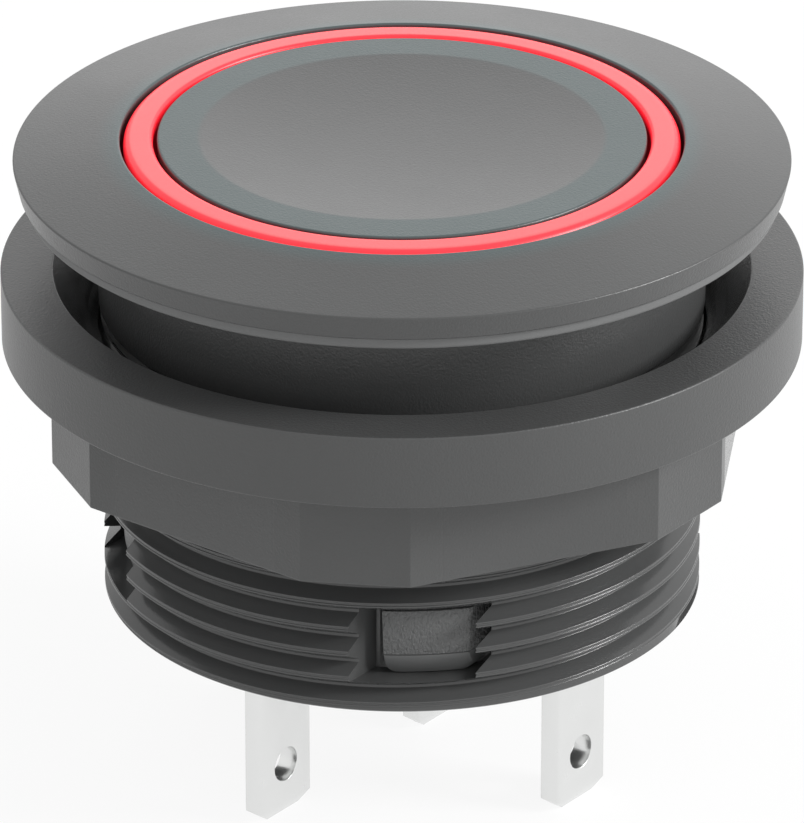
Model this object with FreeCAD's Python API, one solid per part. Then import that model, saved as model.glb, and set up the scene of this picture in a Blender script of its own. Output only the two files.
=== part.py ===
import FreeCAD, Part
import math
import os

# Illuminated push button for a 22.3 mm panel hole, in millimetres.
# The origin is on the button's axis, in the panel's front face. +Z points out of the panel towards
# the finger, and X runs along the width of the four terminal tabs.

# Bezel and collar
bezel_overhang = 3.03
bezel_side_height = 0.9
bezel_side_draft = 0.2
bezel_rise = 0.62
bezel_edge_chamfer = 0.08
mouth_diameter = 20.4
mouth_edge_chamfer = 0.08
collar_diameter = 22.1
collar_length = 4.35
collar_chamfer = 0.15

# Threaded barrel
thread_diameter = 22.0
thread_pitch = 1.0
thread_depth = 0.55
thread_crest_width = 0.2
thread_first_groove = 4.95
thread_grooves = 11
barrel_length = 15.7
barrel_bore_diameter = 19.2
barrel_end_chamfer = 0.15
barrel_bore_chamfer = 0.4

# Latch windows in the barrel, on both sides of the X axis
window_inner_side = 5.15
window_outer_side = 8.65
window_top = 11.82
window_bottom = 14.6

# Panel gasket
gasket_thickness = 0.45
gasket_inset = 0.36
gasket_edge_chamfer = 0.11
gasket_bore_clearance = 0.05

# Mounting nut
grip_shown = 3.0
nut_flange_diameter = 29.2
nut_flange_thickness = 2.73
nut_height = 6.61
nut_sides = 6
nut_across_flats = 24.68
nut_across_corners = 26.2
nut_bore_clearance = 0.05
nut_bore_chamfer = 0.3
nut_throat_step = 0.35
nut_funnel_flare = 1.26
nut_funnel_depth = 1.75
nut_funnel_bulge = 0.21
nut_edge_chamfer = 0.1

# Light ring
ring_bore_diameter = 18.0
ring_mouth_clearance = 0.13
ring_proud = 0.15
ring_edge_chamfer = 0.05
guide_tube_wall = 0.7
guide_tube_clearance = 0.1
guide_tube_end_gap = 0.2
ring_ledge_thickness = 0.95

# Button cap
cap_ring_clearance = 0.2
cap_proud = 0.03
cap_dish_diameter = 14.54
cap_dish_depth = 0.5
cap_edge_chamfer = 0.08
cap_height = 2.5
cap_roof = 1.1
cap_wall = 0.9
button_stroke = 2.0
stop_gap = 0.05

# Latch sleeve
sleeve_barrel_clearance = 0.1
sleeve_wall = 0.8
sleeve_flange_thickness = 0.7
sleeve_end_recess = 0.3
sleeve_lip_height = 0.2
sleeve_lip_width = 0.25
lug_side_gap = 0.56
lug_projection = 0.75
lug_lead = 0.2
lug_lead_height = 0.77
lug_top_gap = 0.2
lug_bottom_gap = 0.05
tongue_slot_width = 0.5
tongue_length = 5.8
tongue_flex_room = 0.85

# Plunger
plunger_disc_gap = 0.05
plunger_bead = 0.15
plunger_skirt_step = 0.45
plunger_skirt_wall = 0.8
plunger_skirt_length = 4.5
post_width = 1.8
post_breadth = 4.2
post_cheek = 0.65
post_foot = 0.7
post_clearance = 0.4
hook_thickness = 0.8
hook_width = 2.4
hook_barb = 0.6
hook_barb_height = 0.55
hook_room = 0.2

# Plunger seal
seal_height = 0.6
seal_entry = 0.2
seal_groove_depth = 0.4
seal_running_gap = 0.05

# Lamp board and its components
board_thickness = 0.8
board_hole_clearance = 0.5
led_length = 2.0
led_width = 1.2
led_height = 0.7
led_base_height = 0.45
led_lens_inset = 0.15
led_circle_radius = 7.85
led_count = 4
chip_circle_radius = 6.35
resistor_length = 3.2
resistor_width = 1.6
resistor_height = 0.55
diode_length = 2.5
diode_width = 1.3
diode_height = 0.6
chip_cap_length = 0.5
lamp_pin_rise = 0.4

# Contact carrier and contacts
carrier_clearance = 0.1
carrier_floor = 1.0
chamber_half_length = 5.3
chamber_half_breadth = 2.5
hook_ledge = 0.6
core_radius = 1.3
core_circle_radius = 6.2
core_angle = 55
core_floor = 1.2
moving_contact_length = 2.4
fixed_arm_height = 1.4
contact_radius = 0.4
contact_reach = 4.0
fixed_contact_length = 1.6
contact_gap = 1.2
bridge_thickness = 0.4
bridge_half_length = 4.9
bridge_breadth = 2.8

# Springs
return_spring_room = 1.2
return_spring_wire = 0.4
return_spring_turns = 6
contact_spring_radius = 1.05
contact_spring_length = 3.4
contact_spring_wire = 0.24
contact_spring_turns = 6
spring_steps_per_turn = 12

# Terminal tabs
tab_width = 2.8
tab_thickness = 0.8
tab_reach = 6.75
tab_neck_width = 1.6
tab_corner_width = 0.5
tab_corner_height = 0.4
tab_bevel = 0.18
tab_bevel_height = 0.4
tab_hole_diameter = 1.3
tab_hole_height = 2.0
tab_shoulder_gap = 0.05
lamp_tab_offset = 7.95
common_tab_offset = -7.4
open_tab_offset = 1.95
insert_gap = 0.02

# Radii and levels that follow from the sizes above
collar_radius = collar_diameter / 2
rim_radius = collar_radius + bezel_overhang
thread_radius = thread_diameter / 2
bore_radius = barrel_bore_diameter / 2
mouth_radius = mouth_diameter / 2
flange_under_z = gasket_thickness
rim_top_z = flange_under_z + bezel_side_height
mouth_top_z = rim_top_z + bezel_rise
barrel_end_z = -barrel_length

cap_top_z = mouth_top_z + cap_proud
cap_bottom_z = cap_top_z - cap_height
cap_radius = ring_bore_diameter / 2 - cap_ring_clearance
cap_bore_radius = cap_radius - cap_wall
cap_roof_z = cap_top_z - cap_dish_depth - cap_roof

sleeve_radius = bore_radius - sleeve_barrel_clearance
sleeve_bore_radius = sleeve_radius - sleeve_wall
sleeve_flange_radius = mouth_radius - sleeve_barrel_clearance

ring_top_z = mouth_top_z + ring_proud
ring_radius = mouth_radius - ring_mouth_clearance
ring_bore_radius = ring_bore_diameter / 2
ring_ledge_z = cap_bottom_z - button_stroke - stop_gap
guide_radius = sleeve_bore_radius - guide_tube_clearance
guide_bore_radius = guide_radius - guide_tube_wall

sleeve_top_z = ring_ledge_z - ring_ledge_thickness
seat_z = sleeve_top_z - sleeve_flange_thickness
sleeve_end_z = barrel_end_z + sleeve_end_recess

disc_top_z = cap_roof_z - plunger_disc_gap
disc_under_z = cap_bottom_z
disc_radius = cap_bore_radius - plunger_disc_gap
skirt_radius = disc_radius - plunger_skirt_step
skirt_bore_radius = skirt_radius - plunger_skirt_wall
skirt_end_z = disc_under_z - plunger_skirt_length
return_spring_radius = skirt_bore_radius - hook_thickness - return_spring_room
seal_top_z = ring_ledge_z - seal_entry
seal_end_z = seal_top_z - seal_height
seal_bore_radius = skirt_radius - seal_groove_depth

board_top_z = skirt_end_z - button_stroke - led_height - hook_room
board_under_z = board_top_z - board_thickness
board_hole_radius = return_spring_radius + return_spring_wire / 2 + board_hole_clearance
guide_end_z = board_top_z + led_height + guide_tube_end_gap

carrier_radius = sleeve_bore_radius - carrier_clearance
carrier_under_z = sleeve_end_z + sleeve_lip_height
chamber_floor_z = carrier_under_z + carrier_floor
fixed_arm_top_z = chamber_floor_z + fixed_arm_height
bridge_under_z = fixed_arm_top_z + contact_radius + contact_gap + contact_radius
bridge_top_z = bridge_under_z + bridge_thickness
post_window_top_z = bridge_top_z + contact_spring_length
post_end_z = bridge_under_z - post_foot

hook_barb_z = board_under_z - hook_ledge - stop_gap
hook_end_z = hook_barb_z - hook_barb_height
hook_pocket_floor_z = hook_end_z - button_stroke - hook_room

tab_tip_z = barrel_end_z - tab_reach
tab_shoulder_z = sleeve_end_z - tab_shoulder_gap


def vector(x, y, z):
    return FreeCAD.Vector(x, y, z)


def turned(start, *moves):
    """A solid turned about the Z axis from a section of (radius, z) corners.

    A move of two numbers is a straight run, and a move of four numbers is an arc through the first
    pair that ends at the second pair. The section closes itself back to its start.
    """
    edges = []
    here = vector(start[0], 0, start[1])
    for move in moves + (start,):
        there = vector(move[-2], 0, move[-1])
        if len(move) == 4:
            edges.append(Part.Arc(here, vector(move[0], 0, move[1]), there).toShape())
        elif not there.isEqual(here, 1e-6):
            edges.append(Part.LineSegment(here, there).toShape())
        here = there
    section = Part.Face(Part.Wire(edges))
    return section.revolve(vector(0, 0, 0), vector(0, 0, 1), 360)


def tube(inner_radius, outer_radius, low_z, high_z):
    outer = Part.makeCylinder(outer_radius, high_z - low_z, vector(0, 0, low_z))
    inner = Part.makeCylinder(inner_radius, high_z - low_z, vector(0, 0, low_z))
    return outer.cut(inner)


def block(low_x, high_x, low_y, high_y, low_z, high_z):
    size = (high_x - low_x, high_y - low_y, high_z - low_z)
    return Part.makeBox(*size, vector(low_x, low_y, low_z))


def centred_block(x, y, half_x, half_y, low_z, high_z):
    return block(x - half_x, x + half_x, y - half_y, y + half_y, low_z, high_z)


def turned_by(shape, angle):
    copy = shape.copy()
    copy.rotate(vector(0, 0, 0), vector(0, 0, 1), angle)
    return copy


def four_quadrants(shape):
    """The shape and its mirror images in the XZ and YZ planes."""
    right = shape.fuse(shape.mirror(vector(0, 0, 0), vector(0, 1, 0)))
    return right.fuse(right.mirror(vector(0, 0, 0), vector(1, 0, 0)))


def thread_groove_moves():
    """The section of the thread, as corners from the collar down to the barrel's end."""
    flank = (thread_pitch - thread_crest_width) / 2
    moves = []
    for number in range(thread_grooves):
        middle_z = -thread_first_groove - number * thread_pitch
        moves.append((thread_radius, middle_z + flank))
        moves.append((thread_radius - thread_depth, middle_z))
        moves.append((thread_radius, middle_z - flank))
    return moves


def housing():
    """Bezel, collar and threaded barrel, moulded in one piece, with the four latch windows."""
    edge = bezel_edge_chamfer
    slope = bezel_rise / (rim_radius - mouth_radius)
    body = turned(
        (bore_radius, seat_z),
        (mouth_radius, seat_z),
        (mouth_radius, mouth_top_z - mouth_edge_chamfer),
        (mouth_radius + mouth_edge_chamfer, mouth_top_z - mouth_edge_chamfer * slope),
        (rim_radius - edge, rim_top_z + edge * slope),
        (rim_radius, rim_top_z - edge),
        (rim_radius - bezel_side_draft, flange_under_z),
        (collar_radius, flange_under_z),
        (collar_radius, -collar_length + collar_chamfer),
        (thread_radius - collar_chamfer, -collar_length),
        *thread_groove_moves(),
        (thread_radius, barrel_end_z + barrel_end_chamfer),
        (thread_radius - barrel_end_chamfer, barrel_end_z),
        (bore_radius + barrel_bore_chamfer, barrel_end_z),
        (bore_radius, barrel_end_z + barrel_bore_chamfer),
    )
    window = block(0, rim_radius, window_inner_side, window_outer_side, -window_bottom, -window_top)
    return body.cut(four_quadrants(window))


def panel_gasket():
    inner = collar_radius + gasket_bore_clearance
    outer = rim_radius - gasket_inset
    edge = gasket_edge_chamfer
    return turned(
        (inner, 0),
        (inner, flange_under_z),
        (outer, flange_under_z),
        (outer, edge),
        (outer - edge, 0),
    )


def hexagon_prism(across_flats, first_corner, low_z, high_z):
    corner_radius = across_flats / 2 / math.cos(math.pi / nut_sides)
    corners = []
    for number in range(nut_sides + 1):
        angle = first_corner + 2 * math.pi / nut_sides * number
        corners.append(vector(corner_radius * math.cos(angle), corner_radius * math.sin(angle), low_z))
    return Part.Face(Part.makePolygon(corners)).extrude(vector(0, 0, high_z - low_z))


def mounting_nut():
    """Round flange over a hexagon with its six corners cut off, with a funnel for the collar."""
    top = -grip_shown
    flange_under = top - nut_flange_thickness
    bottom = top - nut_height
    outer = nut_flange_diameter / 2
    edge = nut_edge_chamfer
    bore = max(collar_radius, thread_radius) + nut_bore_clearance
    flange = turned(
        (0, top),
        (outer - edge, top),
        (outer, top - edge),
        (outer, flange_under + edge),
        (outer - edge, flange_under),
        (0, flange_under),
    )
    flats = hexagon_prism(nut_across_flats, math.pi / nut_sides, bottom, flange_under)
    corners = hexagon_prism(nut_across_corners, 0, bottom, flange_under)
    body = flange.fuse(flats.common(corners)).removeSplitter()
    throat = bore + nut_throat_step
    mouth = throat + nut_funnel_flare
    opening = turned(
        (0, top),
        (mouth, top),
        ((throat + mouth) / 2 - nut_funnel_bulge, top - nut_funnel_depth / 2 - nut_funnel_bulge),
        (throat, top - nut_funnel_depth),
        (bore, top - nut_funnel_depth - nut_throat_step),
        (bore, bottom + nut_bore_chamfer),
        (bore + nut_bore_chamfer, bottom),
        (0, bottom),
    )
    return body.cut(opening)


def light_ring():
    """The lit rim and, in one piece with it, the tube that brings the light up from the lamp board."""
    edge = ring_edge_chamfer
    return turned(
        (ring_bore_radius + edge, ring_top_z),
        (ring_radius - edge, ring_top_z),
        (ring_radius, ring_top_z - edge),
        (ring_radius, ring_ledge_z - ring_ledge_thickness),
        (guide_radius, ring_ledge_z - ring_ledge_thickness),
        (guide_radius, guide_end_z),
        (guide_bore_radius, guide_end_z),
        (guide_bore_radius, ring_ledge_z),
        (ring_bore_radius, ring_ledge_z),
        (ring_bore_radius, ring_top_z - edge),
    )


def latch_sleeve():
    """The inner sleeve, with a snap lug on the free end of each of its four tongues."""
    lip_radius = sleeve_bore_radius - sleeve_lip_width
    body = turned(
        (sleeve_bore_radius, sleeve_top_z),
        (sleeve_flange_radius, sleeve_top_z),
        (sleeve_flange_radius, seat_z),
        (sleeve_radius, seat_z),
        (sleeve_radius, sleeve_end_z),
        (lip_radius, sleeve_end_z),
        (lip_radius, carrier_under_z),
        (sleeve_bore_radius, carrier_under_z),
    )
    lug_inner_side = window_inner_side + lug_side_gap
    lug_outer_side = window_outer_side - lug_side_gap
    tongue_top_z = sleeve_end_z + tongue_length
    inner_slot = block(
        0, bore_radius, lug_inner_side - tongue_slot_width, lug_inner_side, sleeve_end_z, tongue_top_z
    )
    outer_slot = block(
        0, bore_radius, lug_outer_side, lug_outer_side + tongue_slot_width, sleeve_end_z, tongue_top_z
    )
    body = body.cut(four_quadrants(inner_slot.fuse(outer_slot)))
    face_radius = sleeve_radius + lug_projection
    lug_end_z = -window_bottom + lug_bottom_gap
    lug_ring = turned(
        (sleeve_radius - sleeve_wall / 2, -window_top - lug_top_gap),
        (face_radius, -window_top - lug_top_gap),
        (face_radius, lug_end_z + lug_lead_height),
        (face_radius - lug_lead, lug_end_z),
        (sleeve_radius - sleeve_wall / 2, lug_end_z),
    )
    lug = lug_ring.common(
        block(0, thread_radius, lug_inner_side, lug_outer_side, -window_bottom, -window_top)
    )
    return body.fuse(four_quadrants(lug)).removeSplitter()


def cap_dish_z(radius):
    """Height of the spherical dish at a radius."""
    edge = cap_dish_diameter / 2
    sphere = (edge * edge + cap_dish_depth * cap_dish_depth) / (2 * cap_dish_depth)
    return cap_top_z - cap_dish_depth + sphere - math.sqrt(sphere * sphere - radius * radius)


def button_cap():
    edge = cap_edge_chamfer
    dish = cap_dish_diameter / 2
    bead_z = (disc_top_z + disc_under_z) / 2
    groove = cap_bore_radius + plunger_bead
    return turned(
        (0, cap_dish_z(0)),
        (dish / 2, cap_dish_z(dish / 2), dish, cap_top_z),
        (cap_radius - edge, cap_top_z),
        (cap_radius, cap_top_z - edge),
        (cap_radius, cap_bottom_z),
        (cap_bore_radius, cap_bottom_z),
        (cap_bore_radius, bead_z - plunger_bead),
        (groove, bead_z),
        (cap_bore_radius, bead_z + plunger_bead),
        (cap_bore_radius, cap_roof_z),
        (0, cap_roof_z),
    )


def plunger():
    """Snaps into the cap. Its post carries the contact bridge, and its two hooks hold it down."""
    bead_z = (disc_top_z + disc_under_z) / 2
    body = turned(
        (0, disc_top_z),
        (disc_radius, disc_top_z),
        (disc_radius, bead_z + plunger_bead),
        (disc_radius + plunger_bead, bead_z),
        (disc_radius, bead_z - plunger_bead),
        (disc_radius, disc_under_z),
        (skirt_radius, disc_under_z),
        (skirt_radius, seal_top_z),
        (seal_bore_radius, seal_top_z),
        (seal_bore_radius, seal_end_z),
        (skirt_radius, seal_end_z),
        (skirt_radius, skirt_end_z),
        (skirt_bore_radius, skirt_end_z),
        (skirt_bore_radius, disc_under_z),
        (0, disc_under_z),
    )
    half_width = post_width / 2
    half_breadth = post_breadth / 2
    post = centred_block(0, 0, half_width, half_breadth, post_end_z, disc_under_z)
    window = centred_block(
        0, 0, half_width, half_breadth - post_cheek, bridge_under_z, post_window_top_z
    )
    body = body.fuse(post.cut(window))
    inner = skirt_bore_radius - hook_thickness
    outer = skirt_bore_radius
    tip = outer + hook_barb
    lead = hook_barb_height / 3
    corners = [
        vector(inner, -hook_width / 2, disc_under_z),
        vector(outer, -hook_width / 2, disc_under_z),
        vector(outer, -hook_width / 2, hook_barb_z),
        vector(tip, -hook_width / 2, hook_barb_z),
        vector(tip, -hook_width / 2, hook_barb_z - lead),
        vector(outer, -hook_width / 2, hook_end_z),
        vector(inner, -hook_width / 2, hook_end_z),
        vector(inner, -hook_width / 2, disc_under_z),
    ]
    hook = Part.Face(Part.makePolygon(corners)).extrude(vector(0, hook_width, 0))
    return body.fuse(hook).fuse(turned_by(hook, 180)).removeSplitter()


def plunger_seal():
    """A lip ring in the plunger's groove, wiping the bore of the light guide."""
    outer = guide_bore_radius - seal_running_gap
    inner = seal_bore_radius + insert_gap
    middle_z = (seal_top_z + seal_end_z) / 2
    neck = seal_height / 6
    return turned(
        (inner, seal_top_z - insert_gap),
        (outer, seal_top_z - insert_gap),
        (outer - neck, middle_z),
        (outer, seal_end_z + insert_gap),
        (inner, seal_end_z + insert_gap),
    )


def hook_notch(x_end, low_z, high_z):
    """Room for both hooks to pass, flexed inwards, out to a distance from the axis."""
    half_width = hook_width / 2 + hook_room
    return centred_block(0, 0, x_end, half_width, low_z, high_z)


def lamp_board():
    body = tube(board_hole_radius, carrier_radius, board_under_z, board_top_z)
    body = body.cut(hook_notch(skirt_bore_radius + hook_room, board_under_z, board_top_z))
    for side in (1, -1):
        pin_slot = centred_block(
            0,
            side * lamp_tab_offset,
            tab_neck_width / 2 + insert_gap,
            tab_thickness / 2 + insert_gap,
            board_under_z,
            board_top_z,
        )
        body = body.cut(pin_slot)
    return body


def led(number):
    base = centred_block(
        led_circle_radius, 0, led_width / 2, led_length / 2, board_top_z, board_top_z + led_base_height
    )
    lens = centred_block(
        led_circle_radius,
        0,
        led_width / 2 - led_lens_inset,
        led_length / 2 - led_lens_inset,
        board_top_z + led_base_height,
        board_top_z + led_height,
    )
    return turned_by(base.fuse(lens), 360 / led_count * (number + 0.5))


def chip(length, width, height, angle):
    """A flat component soldered by its two end caps, which stand a little proud of its body."""
    step = height * 0.08
    radius = chip_circle_radius
    half_length = (length - chip_cap_length) / 2
    top_z = board_top_z + height
    body = centred_block(radius, 0, width / 2 - step, half_length, board_top_z, top_z - step)
    for side in (1, -1):
        end = side * half_length
        cap = centred_block(radius, end, width / 2, chip_cap_length / 2, board_top_z, top_z)
        body = body.fuse(cap)
    return turned_by(body.removeSplitter(), angle)


def contact_carrier():
    """The insulating block that holds the terminals, with a chamber for the contact bridge."""
    body = Part.makeCylinder(
        carrier_radius, board_under_z - carrier_under_z, vector(0, 0, carrier_under_z)
    )
    body = body.cut(
        centred_block(0, 0, chamber_half_length, chamber_half_breadth, chamber_floor_z, board_under_z)
    )
    ledge_z = board_under_z - hook_ledge
    body = body.cut(hook_notch(skirt_bore_radius + hook_room, ledge_z, board_under_z))
    pocket_end = skirt_bore_radius + hook_barb + hook_room
    body = body.cut(hook_notch(pocket_end, hook_pocket_floor_z, ledge_z))
    core = Part.makeCylinder(
        core_radius,
        board_under_z - carrier_under_z - core_floor,
        vector(core_circle_radius, 0, carrier_under_z + core_floor),
    )
    body = body.cut(four_quadrants(turned_by(core, core_angle)))
    flex = tube(
        carrier_radius - tongue_flex_room, bore_radius, carrier_under_z, sleeve_end_z + tongue_length
    )
    behind_tongue = block(
        carrier_radius / 3,
        bore_radius,
        window_inner_side,
        window_outer_side,
        carrier_under_z,
        sleeve_end_z + tongue_length,
    )
    body = body.cut(four_quadrants(flex.common(behind_tongue)))
    half_neck = tab_neck_width / 2 + insert_gap
    half_thick = tab_thickness / 2 + insert_gap
    for side in (1, -1):
        offset = side * lamp_tab_offset
        body = body.cut(centred_block(0, offset, half_neck, half_thick, carrier_under_z, board_under_z))
    for offset in (common_tab_offset, open_tab_offset):
        body = body.cut(centred_block(offset, 0, half_neck, half_thick, carrier_under_z, chamber_floor_z))
    arm_slot = block(
        common_tab_offset - half_neck,
        -chamber_half_length,
        -half_thick,
        half_thick,
        chamber_floor_z,
        fixed_arm_top_z + insert_gap,
    )
    return body.cut(arm_slot)


def tab(x, y):
    """The plug-on end of a terminal, with its corners cut, its edges coined and its hole."""
    half = tab_width / 2
    outline = [
        (-half, tab_shoulder_z),
        (-half, tab_tip_z + tab_corner_height),
        (-half + tab_corner_width, tab_tip_z),
        (half - tab_corner_width, tab_tip_z),
        (half, tab_tip_z + tab_corner_height),
        (half, tab_shoulder_z),
        (-half, tab_shoulder_z),
    ]
    face = Part.Face(Part.makePolygon([vector(r, -tab_thickness / 2, z) for r, z in outline]))
    plate = face.extrude(vector(0, tab_thickness, 0))
    thick = tab_thickness / 2
    side_view = [
        (-thick, tab_shoulder_z),
        (-thick, tab_tip_z + tab_bevel_height),
        (-thick + tab_bevel, tab_tip_z),
        (thick - tab_bevel, tab_tip_z),
        (thick, tab_tip_z + tab_bevel_height),
        (thick, tab_shoulder_z),
        (-thick, tab_shoulder_z),
    ]
    bevel = Part.Face(Part.makePolygon([vector(-half, t, z) for t, z in side_view]))
    plate = plate.common(bevel.extrude(vector(tab_width, 0, 0)))
    hole = Part.makeCylinder(
        tab_hole_diameter / 2,
        tab_thickness,
        vector(0, -tab_thickness / 2, tab_tip_z + tab_hole_height),
        vector(0, 1, 0),
    )
    plate = plate.cut(hole)
    plate.translate(vector(x, y, 0))
    return plate


def lamp_terminal(side):
    """A tab whose neck rises through the carrier to its soldered joint on the lamp board."""
    offset = side * lamp_tab_offset
    neck = centred_block(
        0, offset, tab_neck_width / 2, tab_thickness / 2, tab_shoulder_z, board_top_z + lamp_pin_rise
    )
    return tab(0, offset).fuse(neck).removeSplitter()


def contact_terminal(offset, side):
    """A tab whose neck ends in an arm under the fixed contact, which is on one side of the axis."""
    half_neck = tab_neck_width / 2
    neck = centred_block(offset, 0, half_neck, tab_thickness / 2, tab_shoulder_z, chamber_floor_z)
    middle = side * contact_reach
    low_x = min(offset - half_neck, middle - fixed_contact_length / 2)
    high_x = max(offset + half_neck, middle + fixed_contact_length / 2)
    arm = block(
        low_x, high_x, -tab_thickness / 2, tab_thickness / 2, chamber_floor_z, fixed_arm_top_z
    )
    return tab(offset, 0).fuse(neck).fuse(arm).removeSplitter()


def half_round_bar(length, low_side):
    """A contact bar along X, centred on the origin, flat on one side and round on the other."""
    rod = Part.makeCylinder(contact_radius, length, vector(-length / 2, 0, 0), vector(1, 0, 0))
    if low_side:
        return rod.common(block(-length, length, -length, length, -length, 0))
    return rod.common(block(-length, length, -length, length, 0, length))


def fixed_contact(side):
    bar = half_round_bar(fixed_contact_length, False)
    bar.translate(vector(side * contact_reach, 0, fixed_arm_top_z))
    return bar


def moving_contact(side):
    bar = turned_by(half_round_bar(moving_contact_length, True), 90)
    bar.translate(vector(side * contact_reach, 0, bridge_under_z))
    return bar


def contact_bridge():
    """A strip across both fixed contacts, narrowed at the middle where it passes the post."""
    half_breadth = bridge_breadth / 2
    waist = half_breadth - post_cheek / 2
    half_waist = post_width / 2 + post_clearance
    strip = centred_block(0, 0, bridge_half_length, half_breadth, bridge_under_z, bridge_top_z)
    for side in (1, -1):
        low_y = min(side * waist, side * half_breadth)
        high_y = max(side * waist, side * half_breadth)
        strip = strip.cut(block(-half_waist, half_waist, low_y, high_y, bridge_under_z, bridge_top_z))
    return strip


def coil_spring(radius, wire, turns, low_z, high_z):
    """A helical wire between two levels, as a chain of six-sided lengths with mitred joints."""
    pitch = (high_z - low_z - wire) / turns
    tilt = math.atan(pitch / (2 * math.pi * radius))
    corners = []
    for number in range(7):
        angle = math.radians(60 * number)
        across = wire / 2 * math.cos(angle)
        along = wire / 2 * math.sin(angle)
        corners.append(vector(radius + across, -along * math.sin(tilt), along * math.cos(tilt)))
    first = Part.makePolygon(corners)
    sections = []
    for step in range(turns * spring_steps_per_turn + 1):
        section = turned_by(first, 360 / spring_steps_per_turn * step)
        section.translate(vector(0, 0, low_z + wire / 2 + pitch / spring_steps_per_turn * step))
        sections.append(section)
    return Part.makeLoft(sections, True, True)


def all_pieces():
    pieces = {
        "bezel_housing": housing(),
        "panel_gasket": panel_gasket(),
        "mounting_nut": mounting_nut(),
        "light_ring": light_ring(),
        "latch_sleeve": latch_sleeve(),
        "button_cap": button_cap(),
        "plunger": plunger(),
        "plunger_seal": plunger_seal(),
        "lamp_board": lamp_board(),
        "lamp_resistor": chip(resistor_length, resistor_width, resistor_height, 90),
        "lamp_diode": chip(diode_length, diode_width, diode_height, 270),
        "contact_carrier": contact_carrier(),
        "lamp_terminal_1": lamp_terminal(1),
        "lamp_terminal_2": lamp_terminal(-1),
        "terminal_common": contact_terminal(common_tab_offset, -1),
        "terminal_open": contact_terminal(open_tab_offset, 1),
        "fixed_contact_common": fixed_contact(-1),
        "fixed_contact_open": fixed_contact(1),
        "contact_bridge": contact_bridge(),
        "moving_contact_common": moving_contact(-1),
        "moving_contact_open": moving_contact(1),
        "return_spring": coil_spring(
            return_spring_radius,
            return_spring_wire,
            return_spring_turns,
            board_under_z,
            disc_under_z,
        ),
        "contact_spring": coil_spring(
            contact_spring_radius,
            contact_spring_wire,
            contact_spring_turns,
            bridge_top_z,
            post_window_top_z,
        ),
    }
    for number in range(led_count):
        pieces[f"led_{number + 1}"] = led(number)
    return pieces


os.makedirs("parts", exist_ok=True)
for name, shape in all_pieces().items():
    shape.exportStep(f"parts/{name}.step")
    print(name, len(shape.Solids), round(shape.Volume, 2), shape.isValid())
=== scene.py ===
import math

import bmesh
import bpy
from bpy.props import FloatProperty, FloatVectorProperty, IntProperty, PointerProperty
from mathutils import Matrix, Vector


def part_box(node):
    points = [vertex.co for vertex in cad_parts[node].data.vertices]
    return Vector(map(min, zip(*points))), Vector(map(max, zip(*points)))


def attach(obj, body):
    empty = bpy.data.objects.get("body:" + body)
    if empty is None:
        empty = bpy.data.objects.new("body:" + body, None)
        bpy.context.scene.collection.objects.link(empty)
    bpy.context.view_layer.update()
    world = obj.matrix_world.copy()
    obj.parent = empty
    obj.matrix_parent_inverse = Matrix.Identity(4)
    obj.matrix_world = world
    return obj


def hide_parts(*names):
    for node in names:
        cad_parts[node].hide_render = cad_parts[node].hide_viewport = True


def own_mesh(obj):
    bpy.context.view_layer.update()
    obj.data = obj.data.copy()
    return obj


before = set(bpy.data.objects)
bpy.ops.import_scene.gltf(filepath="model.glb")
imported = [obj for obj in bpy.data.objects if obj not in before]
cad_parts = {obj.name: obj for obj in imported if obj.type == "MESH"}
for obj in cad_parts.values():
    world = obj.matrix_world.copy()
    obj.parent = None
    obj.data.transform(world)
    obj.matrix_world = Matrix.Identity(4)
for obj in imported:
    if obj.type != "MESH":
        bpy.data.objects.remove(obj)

bl_info = {
    "name": "Illuminated push button",
    "version": (1, 0, 0),
    "blender": (4, 5, 0),
    "location": "View3D > Sidebar > Push button",
    "description": "Dresses the packed push button in fine shapes and finishes on a pale stage",
    "category": "Object",
}

MM = 0.001
FINE_EDGE = 0.02 * MM
SMALL_EDGE = 0.04 * MM
SOFT_EDGE = 0.05 * MM
WELD_DISTANCE = 0.0005 * MM
ROUNDING_STEP = math.radians(20)  # between the points of a rounding
ROUNDING_LEAD = 1 / 3  # of the radius, from a rounding's end to the next point
SHARP_ANGLE = math.radians(38)  # edges over this angle are shaded sharp
BEVEL_ANGLE = math.radians(50)  # edges over this angle are bevelled on the lugs
OUTLINE_STEP = math.radians(1.5)  # between the columns of the nut
DISH_STEPS = 24
HOLE_SIDES = 48
WIRE_SIDES = 12
STEPS_PER_COIL = 40

housing_low, housing_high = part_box("bezel_housing")
gasket_low, gasket_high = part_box("panel_gasket")
nut_low, nut_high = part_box("mounting_nut")
ring_low, ring_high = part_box("light_ring")
cap_low, cap_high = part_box("button_cap")
sleeve_low, sleeve_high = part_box("latch_sleeve")
lamp_tab_low, lamp_tab_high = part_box("lamp_terminal_1")
common_low, common_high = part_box("terminal_common")
open_low, open_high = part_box("terminal_open")
led_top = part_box("led_1")[1].z


def amount(name, description, default, **settings):
    return FloatProperty(name=name, description=description, default=default, **settings)


def length(name, description, default):
    return amount(name, description, default, unit="LENGTH", subtype="DISTANCE")


def degrees(name, description, default):
    return amount(name, description, math.radians(default), unit="ROTATION", subtype="ANGLE")


def count(name, description, default, low, high):
    return IntProperty(name=name, description=description, default=default, min=low, max=high)


def colour(name, description, default):
    return FloatVectorProperty(
        name=name, description=description, default=default, min=0, max=1, subtype="COLOR"
    )


def direction(name, description, default):
    """Right of, beyond and over the button, as the camera sees it."""
    return FloatVectorProperty(
        name=name, description=description, default=default, subtype="DIRECTION"
    )


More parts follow.
